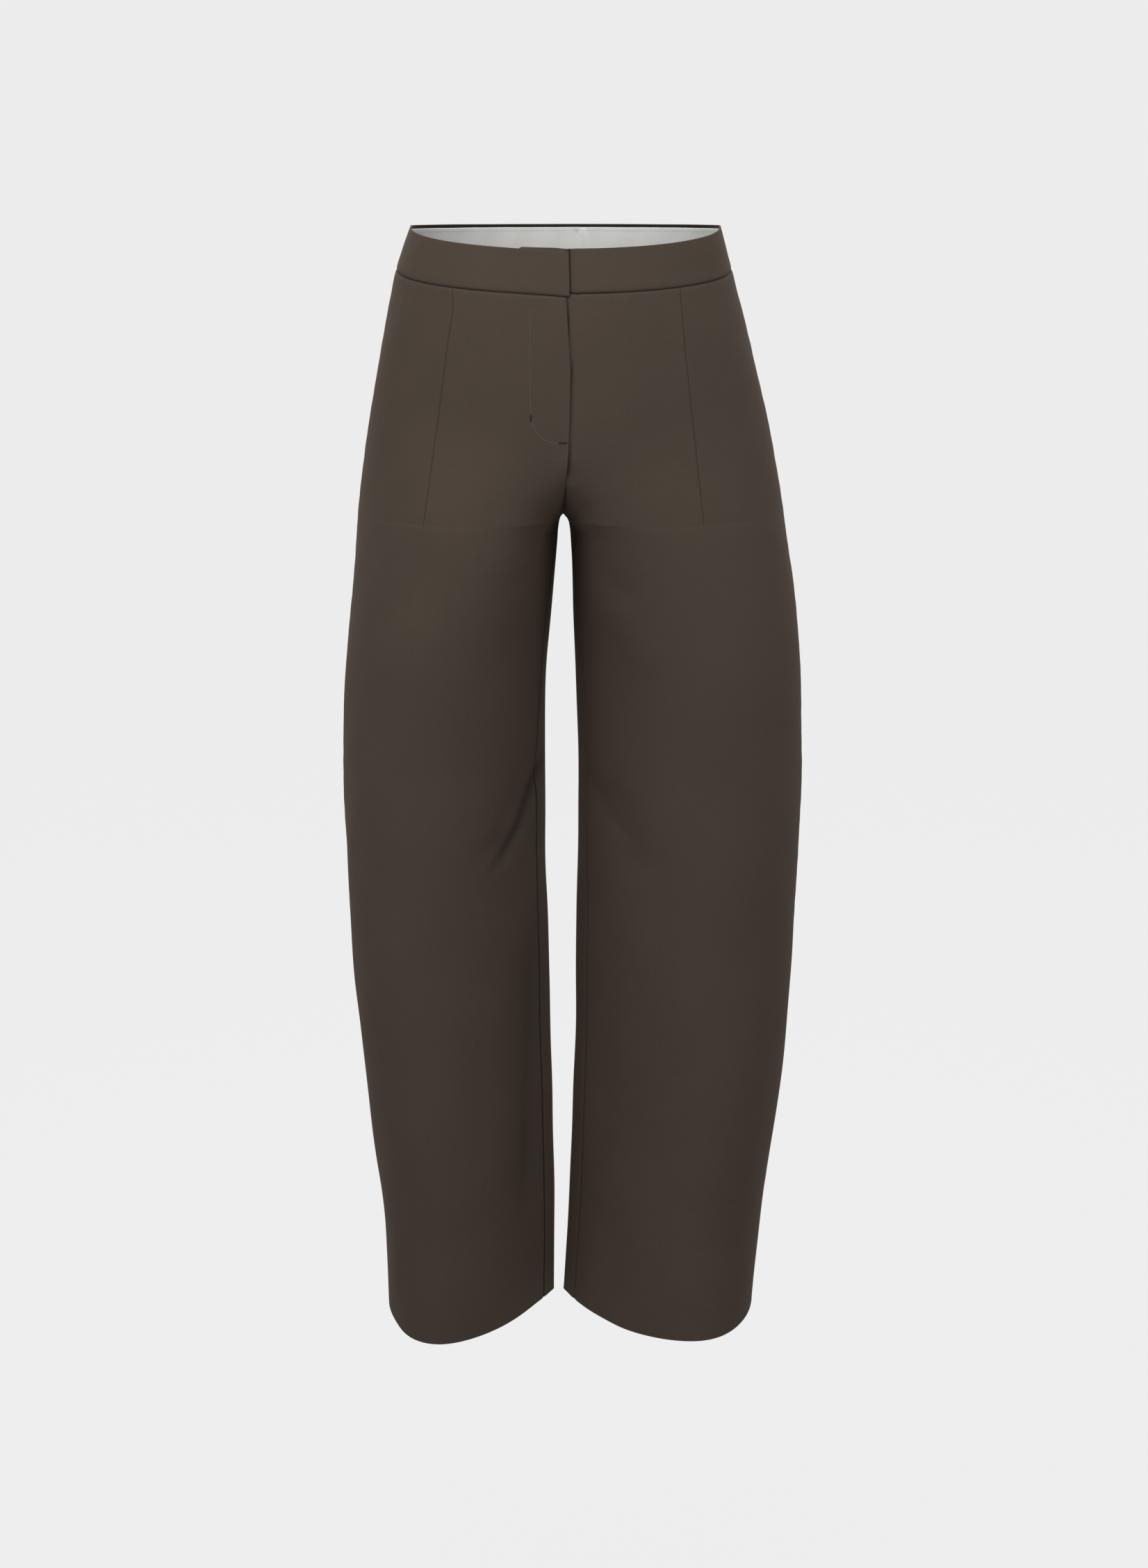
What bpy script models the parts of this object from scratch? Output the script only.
"""Barrel leg trousers, filled out and empty, held at the waist.

Four leg panels, a waistband in three pieces with a pale facing at the back, and a fly.
X runs to the viewer's right, the front faces -Y and +Z is up. The origin is the middle of
the waist opening. The cloth is a thin wall through level sections, which a short table
gives, and every piece is made from the same surface, at its own depth.
"""
import math
from collections import namedtuple

import bmesh
import bpy
from mathutils import Vector

MM = 0.001

# Walls and gaps
CLOTH = 1.2 * MM
BAND_CLOTH = 1.6 * MM
FACING_CLOTH = 1.0 * MM
SEAM_GAP = 0.3 * MM

# Waistband: the top edge dips from the sides to the front and back
WAIST_SIDE_TOP = 19 * MM
FRONT_DIP = 16 * MM
BACK_DIP = 2.5 * MM
BAND_HEIGHT = 37.5 * MM
TOP_FADE = 80 * MM

# Underlap of the waistband and its step below the overlapping end
UNDERLAP = 46 * MM
UNDERLAP_RISE = 1.8 * MM
LAP_EDGE = 1.5 * MM
LAP_STEP = 5 * MM

# Facing inside the back of the waistband
FACING_DROP = 1.5 * MM
FACING_HEIGHT = 44 * MM

# Fly, measured from the centre front
ZIP_WIDTH = 24 * MM
SHIELD_WIDTH = 37 * MM
FLY_CLEAR = 3 * MM
FLY_TOP = 1 * MM
ZIP_END = -164 * MM
SHIELD_END = -171 * MM
LAP_WIDTH = 12 * MM
LAP_SINK = 0.9 * MM

# Crotch: the seam falls in a quarter ellipse to the point where the inseams start, longer
# under the seat. Beside the seam the bend is spread up and down over a few millimetres.
CROTCH_HEIGHT = -235 * MM
CROTCH_DROP = {"front": 62 * MM, "back": 112 * MM}
CROTCH_SPREAD = 30 * MM
SPREAD_STEPS = (-1, -0.75, -0.5, -0.25, 0, 0.25, 0.5, 0.75, 1)
LEG_BLEND_ABOVE = 100 * MM
LEG_BLEND_BELOW = 140 * MM
# How closely the cloth beside the centre seam follows it down to the crotch
SEAM_HOLD = 9

# Hem: lower at the front of each leg than at its seams
HEM_SIDE = -1010 * MM
HEM_DIP = {"front": 10 * MM, "back": 3 * MM}
HEM_FADE = 100 * MM

# One leg is turned a little, so it looks narrower and lies deeper
LEG_DEPTH = {"left": 1.04, "right": 0.96}

# Level sections in millimetres, one row for each height. The outer and inner columns are
# where the side seam and the inseam stand across the body, seam is their place from front
# to back, front and back are how far the cloth reaches, and point is how sharply a leg's
# section narrows to its inner side: 0.5 is an ellipse, 1 is a straight-sided point. Turn is
# how far forward of the inner side the inseam lies, as a share of the panel.
Section = namedtuple("Section", "height left_outer left_inner right_inner right_outer seam front back point turn")
SECTIONS = [
    Section(20, -136.5, 3.0, 3.0, 137.5, 0.0, -98.0, 101.0, 0.50, 0.000),
    Section(0, -144.0, 3.0, 3.0, 143.0, 0.0, -101.0, 104.0, 0.50, 0.000),
    Section(-20, -150.5, 3.5, 3.5, 148.2, 1.0, -104.0, 108.0, 0.50, 0.000),
    Section(-60, -159.8, 4.5, 4.5, 159.5, 3.0, -109.0, 117.5, 0.50, 0.000),
    Section(-110, -169.3, 5.0, 5.0, 172.8, 5.0, -112.4, 127.0, 0.50, 0.000),
    Section(-160, -178.0, 4.0, 4.0, 184.8, 6.0, -113.3, 131.0, 0.50, 0.000),
    Section(-210, -185.2, 0.0, 0.0, 195.0, 5.8, -115.6, 132.8, 0.50, 0.000),
    Section(-235, -188.4, -2.0, -2.0, 199.4, 5.3, -116.2, 131.4, 0.50, 0.000),
    Section(-247, -189.8, -6.0, 3.2, 201.4, 5.0, -115.9, 130.0, 0.50, 0.020),
    Section(-265, -191.9, -8.0, 5.0, 204.3, 4.4, -114.9, 127.4, 0.50, 0.045),
    Section(-300, -195.7, -10.8, 6.6, 209.4, 3.2, -112.5, 121.6, 0.52, 0.080),
    Section(-380, -202.7, -16.6, 9.4, 217.0, 0.4, -108.0, 111.0, 0.60, 0.115),
    Section(-460, -206.4, -19.6, 11.1, 219.8, -1.8, -105.4, 103.6, 0.68, 0.125),
    Section(-540, -206.4, -19.0, 11.4, 219.3, -2.8, -104.0, 99.6, 0.74, 0.130),
    Section(-620, -204.0, -16.8, 11.0, 216.8, -2.8, -102.6, 96.8, 0.79, 0.135),
    Section(-700, -199.0, -14.8, 9.4, 213.2, -2.0, -101.0, 94.6, 0.84, 0.140),
    Section(-780, -191.6, -13.2, 7.2, 206.9, -0.8, -99.2, 93.0, 0.89, 0.145),
    Section(-860, -183.8, -12.0, 4.6, 198.2, 0.4, -97.2, 91.9, 0.94, 0.150),
    Section(-930, -177.6, -11.2, 1.6, 190.0, 1.3, -95.4, 91.2, 1.00, 0.155),
    Section(-1010, -174.7, -10.7, -3.6, 183.6, 2.0, -94.0, 91.0, 1.05, 0.160),
]
OUTER_POINT = 0.5

# Largest soft folds in millimetres: where each starts and ends across and up the panel,
# its half width, and how far it stands proud (a trough is negative). Each fades at its
# ends, over a share of its length.
Fold = namedtuple("Fold", "side face start_x start_z end_x end_z half_width proud")
FOLD_FADE = 0.25
FOLDS = [
    Fold("left", "front", -22, -440, -72, -560, 15, -3.0),
    Fold("left", "front", -40, -600, -36, -930, 13, -2.6),
    Fold("left", "front", -62, -640, -60, -900, 16, 1.8),
    Fold("right", "front", 34, -470, 74, -570, 16, -1.8),
    Fold("right", "front", 36, -640, 28, -900, 14, -1.6),
    Fold("left", "back", -30, -270, -110, -330, 18, -2.4),
    Fold("right", "back", 34, -275, 112, -325, 18, -2.2),
    Fold("left", "back", -50, -520, -140, -480, 18, -2.2),
    Fold("right", "back", 52, -500, 150, -470, 18, -2.0),
    Fold("left", "back", -44, -640, -40, -900, 15, -2.0),
    Fold("right", "back", 46, -620, 40, -880, 15, -1.8),
]

# Grid of a panel: columns from the side seam to the centre or inseam, and its rows
PANEL_COLUMNS = 16
WRAP_COLUMNS = 2
RISE_ROWS = 5
CROTCH_ROWS = 6
BELOW_CROTCH = (5, 12, 25, 45)
LEG_ROWS = 18
BAND_COLUMNS = 14
BAND_ROWS = 3
FLY_ROWS = 6
NORMAL_STEP_U = 0.02
NORMAL_STEP_Z = 1 * MM
SHARP_ANGLE = math.radians(40)

# Colours as sRGB hex, with roughness
FINISHES = {
    "suiting": ("#463F38", 0.85),
    "facing_lining": ("#CBCCC6", 0.75),
    "zip_tape": ("#2E2925", 0.8),
}


def clamp(value, low=0.0, high=1.0):
    return max(low, min(high, value))


def smooth(value):
    value = clamp(value)
    return value * value * (3 - 2 * value)


def column_at(column, height):
    """A column of the sections table at any height, as a smooth curve through its rows."""
    rows = [(row.height * MM, getattr(row, column)) for row in SECTIONS]
    height = clamp(height, rows[-1][0], rows[0][0])
    below = next(i for i in range(1, len(rows)) if height >= rows[i][0])

    def slope(index):
        first = rows[max(index - 1, 0)]
        last = rows[min(index + 1, len(rows) - 1)]
        return (last[1] - first[1]) / (last[0] - first[0])

    (high_z, high_value), (low_z, low_value) = rows[below - 1], rows[below]
    span = low_z - high_z
    t = (height - high_z) / span
    return (
        (2 * t**3 - 3 * t**2 + 1) * high_value
        + (t**3 - 2 * t**2 + t) * span * slope(below - 1)
        + (3 * t**2 - 2 * t**3) * low_value
        + (t**3 - t**2) * span * slope(below)
    )


def body_reach(u):
    """How far a body section reaches forward or back at u, from 0 at the side to 1."""
    across = math.cos(math.pi * u / 2) ** 2
    return math.sqrt(max(0.0, 1 - across**2))


def leg_reach(u, point):
    """The same for a leg's section, which narrows to a point at the inseam."""
    across = math.cos(math.pi * u / 2) ** 2
    peak = point / (point + OUTER_POINT)
    scale = peak**point * (1 - peak) ** OUTER_POINT
    return across**point * (1 - across) ** OUTER_POINT / scale


def share_at_seam(face, height):
    """How much of the leg's section shows at the centre seam."""
    fall = clamp((height - CROTCH_HEIGHT) / CROTCH_DROP[face])
    return 1 - math.sqrt(max(0.0, 1 - (1 - fall) ** 2))


def leg_share(face, u, height):
    """How much of the leg's section shows at u: 0 in the hips, 1 in the legs."""
    blend_top = CROTCH_HEIGHT + LEG_BLEND_ABOVE
    elsewhere = smooth((blend_top - height) / (LEG_BLEND_ABOVE + LEG_BLEND_BELOW))
    near_seam = math.sin(math.pi * u / 2) ** (2 * SEAM_HOLD)
    spread = CROTCH_SPREAD * (1 - near_seam)
    spread_out = [share_at_seam(face, height + spread * step) for step in SPREAD_STEPS]
    at_seam = sum(spread_out) / len(spread_out)
    return elsewhere + (at_seam - elsewhere) * near_seam


def inner_line(side, height):
    """Where a panel ends across the body: at its inseam, or above that at the centre seam."""
    if height < CROTCH_HEIGHT:
        return column_at(side + "_inner", height)
    return (column_at("left_inner", height) + column_at("right_inner", height)) / 2


def surface(side, face, u, height):
    """A point of the cloth's outer face, before folds."""
    across = math.cos(math.pi * u / 2) ** 2
    outer = column_at(side + "_outer", height)
    inner = inner_line(side, height)
    seam = column_at("seam", height)
    reach = column_at(face, height) - seam
    share = leg_share(face, u, height)
    leg = reach * LEG_DEPTH[side] * leg_reach(u, column_at("point", height))
    forward = (1 - share) * reach * body_reach(u) + share * leg
    return Vector(((inner + (outer - inner) * across) * MM, (seam + forward) * MM, height))


def outward(side, face, u, height):
    """The unit vector that points out of the cloth."""
    low_u = max(0.0, u - NORMAL_STEP_U)
    high_u = min(1.0, u + NORMAL_STEP_U)
    along = surface(side, face, high_u, height) - surface(side, face, low_u, height)
    up = surface(side, face, u, height + NORMAL_STEP_Z) - surface(side, face, u, height - NORMAL_STEP_Z)
    normal = along.cross(up).normalized()
    turned = (side == "left") == (face == "front")
    return normal if turned else -normal


def fold_at(side, face, place):
    """How far the folds lift the cloth at a place on a panel."""
    lift = 0.0
    for fold in FOLDS:
        if (fold.side, fold.face) != (side, face):
            continue
        start = Vector((fold.start_x, fold.start_z)) * MM
        run = Vector((fold.end_x, fold.end_z)) * MM - start
        here = Vector((place.x, place.z)) - start
        along = here.dot(run) / run.length_squared
        apart = (here - run * along).length / (fold.half_width * MM)
        ends = smooth(along / FOLD_FADE) * smooth((1 - along) / FOLD_FADE)
        lift += fold.proud * MM * math.exp(-(apart**2)) * ends
    return lift


def waist_top(face, u):
    dip = FRONT_DIP if face == "front" else BACK_DIP
    return WAIST_SIDE_TOP - dip * body_reach(u)


def hem_height(face, u):
    return HEM_SIDE - HEM_DIP[face] * leg_reach(u, SECTIONS[-1].point)


def panel_rows(face):
    """The rows' heights at the side seam, close together where the crotch seam turns."""
    top = WAIST_SIDE_TOP - BAND_HEIGHT
    turn = CROTCH_HEIGHT + CROTCH_DROP[face]
    heights = [top + (turn - top) * i / RISE_ROWS for i in range(RISE_ROWS)]
    for i in range(CROTCH_ROWS + 1):
        angle = math.pi / 2 * i / CROTCH_ROWS
        heights.append(CROTCH_HEIGHT + CROTCH_DROP[face] * (1 - math.sin(angle)))
    heights += [CROTCH_HEIGHT - below * MM for below in BELOW_CROTCH]
    last = heights[-1]
    heights += [last + (HEM_SIDE - last) * i / LEG_ROWS for i in range(1, LEG_ROWS + 1)]
    return heights


def panel_height(face, u, row_height):
    """A row's height at u: it follows the waistband seam above and the hem below."""
    top = WAIST_SIDE_TOP - BAND_HEIGHT
    near_top = smooth(1 - (top - row_height) / TOP_FADE)
    near_hem = smooth(1 - (row_height - HEM_SIDE) / HEM_FADE)
    top_shift = waist_top(face, u) - WAIST_SIDE_TOP - SEAM_GAP / 2
    return row_height + top_shift * near_top + (hem_height(face, u) - HEM_SIDE) * near_hem


def seam_shift(side, face):
    """Half a seam's gap, away from the neighbouring panels."""
    away_x = -1 if side == "left" else 1
    away_y = -1 if face == "front" else 1
    return Vector((away_x, away_y, 0)) * SEAM_GAP / 2


def panel_columns(face, row_height):
    """Where a row's points lie: u is 0 at the side seam and 1 at the leg's inner side.

    The back panel goes on round the inner side to the inseam, and the front one ends there.
    """
    turn = column_at("turn", row_height) if row_height < CROTCH_HEIGHT else 0
    last = 1 - turn if face == "front" else 1
    columns = [last * i / PANEL_COLUMNS for i in range(PANEL_COLUMNS + 1)]
    if face == "back" and turn > 0:
        columns += [1 + turn * i / WRAP_COLUMNS for i in range(1, WRAP_COLUMNS + 1)]
    return columns


def panel_points(side, panel_face):
    """The outer and inner points of a leg panel, row by row."""
    outer_rows, inner_rows = [], []
    shift = seam_shift(side, panel_face)
    for row_height in panel_rows(panel_face):
        outer_row, inner_row = [], []
        for u in panel_columns(panel_face, row_height):
            face = panel_face
            if u > 1:
                face, u = "front", 2 - u
            height = panel_height(face, u, row_height)
            normal = outward(side, face, u, height)
            place = surface(side, face, u, height)
            place += normal * fold_at(side, face, place)
            centre = surface(side, face, 1, height).x
            if (side, face) == ("right", "front") and height > CROTCH_HEIGHT + CROTCH_DROP[face]:
                place -= normal * LAP_SINK * (1 - smooth((place.x - centre) / LAP_WIDTH))
            if u == 0 or (u == 1 and height < CROTCH_HEIGHT):
                normal = Vector((normal.x, 0, normal.z)) / (normal.x**2 + normal.z**2)
            inside = place - normal * CLOTH
            inside.x = min(inside.x, centre) if side == "left" else max(inside.x, centre)
            outer_row.append(place + shift)
            inner_row.append(inside + shift)
        outer_rows.append(outer_row)
        inner_rows.append(inner_row)
    return outer_rows, inner_rows


def strip_points(columns, bottom, top, rows, outside, thickness):
    """The outer and inner points of a strip that lies on the common surface.

    Each column is its side, face, u and further depth below the surface. Bottom and top
    give a column's lowest and highest point.
    """
    outer_rows, inner_rows = [], []
    for j in range(rows + 1):
        outer_row, inner_row = [], []
        for side, face, u, sunk in columns:
            low, high = bottom(side, face, u), top(side, face, u)
            height = low + (high - low) * j / rows
            normal = outward(side, face, u, height)
            place = surface(side, face, u, height) - normal * (outside + sunk)
            place.y += seam_shift(side, face).y
            if u == 0:
                normal = Vector((normal.x, 0, normal.z)) / (normal.x**2 + normal.z**2)
            outer_row.append(place)
            inner_row.append(place - normal * thickness)
        outer_rows.append(outer_row)
        inner_rows.append(inner_row)
    return outer_rows, inner_rows


def u_from_centre(side, distance, height):
    """The u that lies a distance from the centre seam."""
    width = abs(column_at(side + "_outer", height) - inner_line(side, height)) * MM
    return 2 / math.pi * math.acos(math.sqrt(distance / width))


def wall(name, outer_rows, inner_rows, finish):
    """A closed wall between an outer and an inner grid of points.

    Where a row has more points than the one above, they fan out from that row's last point.
    """
    mesh = bmesh.new()
    outer = [[mesh.verts.new(point) for point in row] for row in outer_rows]
    inner = [[mesh.verts.new(point) for point in row] for row in inner_rows]
    for grid in (outer, inner):
        for row, next_row in zip(grid, grid[1:]):
            for i in range(len(row) - 1):
                mesh.faces.new((row[i], row[i + 1], next_row[i + 1], next_row[i]))
            for i in range(len(row) - 1, len(next_row) - 1):
                mesh.faces.new((row[-1], next_row[i + 1], next_row[i]))
    rims = [
        (outer[0], inner[0]),
        (outer[-1], inner[-1]),
        ([row[0] for row in outer], [row[0] for row in inner]),
        ([row[-1] for row in outer], [row[-1] for row in inner]),
    ]
    for outer_edge, inner_edge in rims:
        for i in range(len(outer_edge) - 1):
            mesh.faces.new((outer_edge[i], outer_edge[i + 1], inner_edge[i + 1], inner_edge[i]))
    bmesh.ops.recalc_face_normals(mesh, faces=mesh.faces)
    data = bpy.data.meshes.new(name)
    mesh.to_mesh(data)
    mesh.free()
    data.shade_smooth()
    data.set_sharp_from_angle(angle=SHARP_ANGLE)
    data.materials.append(material(name, finish))
    bpy.data.collections["Barrel leg trousers"].objects.link(bpy.data.objects.new(name, data))


def material(name, finish):
    """A plain fabric material in the piece's own colour."""
    hex_colour, roughness = FINISHES[finish]
    channels = [int(hex_colour[i : i + 2], 16) / 255 for i in (1, 3, 5)]
    linear = [c / 12.92 if c <= 0.04045 else ((c + 0.055) / 1.055) ** 2.4 for c in channels]
    made = bpy.data.materials.new(name + "_" + finish)
    made.use_nodes = True
    shader = made.node_tree.nodes["Principled BSDF"]
    shader.inputs["Base Color"].default_value = (*linear, 1)
    shader.inputs["Roughness"].default_value = roughness
    shader.inputs["Metallic"].default_value = 0
    return made


def leg_panels():
    for side in ("left", "right"):
        for face in ("front", "back"):
            outer, inner = panel_points(side, face)
            wall(f"{face}_{side}", outer, inner, "suiting")


def band_bottom(side, face, u):
    return waist_top(face, u) - BAND_HEIGHT + SEAM_GAP / 2


def band_top(side, face, u):
    return waist_top(face, u)


def waistband():
    """Two front pieces that lap at the centre front, and one piece round the back."""
    even = [i / BAND_COLUMNS for i in range(BAND_COLUMNS + 1)]
    left = [("left", "front", u, 0) for u in even]
    lap_end = ("right", "front", u_from_centre("right", LAP_EDGE, 0), 0)
    outer, inner = strip_points(left + [lap_end], band_bottom, band_top, BAND_ROWS, 0, BAND_CLOTH)
    wall("waistband_front_left", outer, inner, "suiting")

    under = BAND_CLOTH + SEAM_GAP
    step_u = u_from_centre("right", LAP_STEP + LAP_EDGE, 0)
    right = [("right", "front", u, 0) for u in even if u < step_u]
    right += [("right", "front", u_from_centre("right", LAP_EDGE + SEAM_GAP, 0), under)]
    under_steps = 4
    for i in range(under_steps + 1):
        along = UNDERLAP * i / under_steps
        right.append(("left", "front", u_from_centre("left", along, 0), under))

    def under_top(side, face, u):
        raised = UNDERLAP_RISE if side == "left" else 0
        return waist_top(face, u) + raised

    outer, inner = strip_points(right, band_bottom, under_top, BAND_ROWS, 0, BAND_CLOTH)
    wall("waistband_front_right", outer, inner, "suiting")

    across = [("left", "back", u, 0) for u in even]
    across += [("right", "back", u, 0) for u in reversed(even[:-1])]
    outer, inner = strip_points(across, band_bottom, band_top, BAND_ROWS, 0, BAND_CLOTH)
    wall("waistband_back", outer, inner, "suiting")

    def facing_top(side, face, u):
        return waist_top(face, u) - FACING_DROP

    def facing_bottom(side, face, u):
        return facing_top(side, face, u) - FACING_HEIGHT

    outer, inner = strip_points(across, facing_bottom, facing_top, BAND_ROWS, under, FACING_CLOTH)
    wall("waistband_facing_back", outer, inner, "facing_lining")


def fly():
    """The zip's tape and the shield, behind the overlapping front panel."""

    def fly_top(side, face, u):
        return band_bottom(side, face, u) - SEAM_GAP - FLY_TOP

    pieces = [
        ("fly_zip", ZIP_WIDTH, ZIP_END, CLOTH + SEAM_GAP, FACING_CLOTH, "zip_tape"),
        ("fly_shield", SHIELD_WIDTH, SHIELD_END, CLOTH + FACING_CLOTH + 2 * SEAM_GAP, CLOTH, "suiting"),
    ]
    steps = 4
    for name, width, end, outside, thickness, finish in pieces:
        columns = []
        for i in range(steps + 1):
            from_centre = FLY_CLEAR + (width - FLY_CLEAR) * i / steps
            columns.append(("left", "front", u_from_centre("left", from_centre, end), 0))

        def fly_bottom(side, face, u, end=end):
            return end

        outer, inner = strip_points(columns, fly_bottom, fly_top, FLY_ROWS, outside, thickness)
        wall(name, outer, inner, finish)


def main():
    for thing in list(bpy.data.objects):
        bpy.data.objects.remove(thing, do_unlink=True)
    collection = bpy.data.collections.new("Barrel leg trousers")
    bpy.context.scene.collection.children.link(collection)
    leg_panels()
    waistband()
    fly()


main()
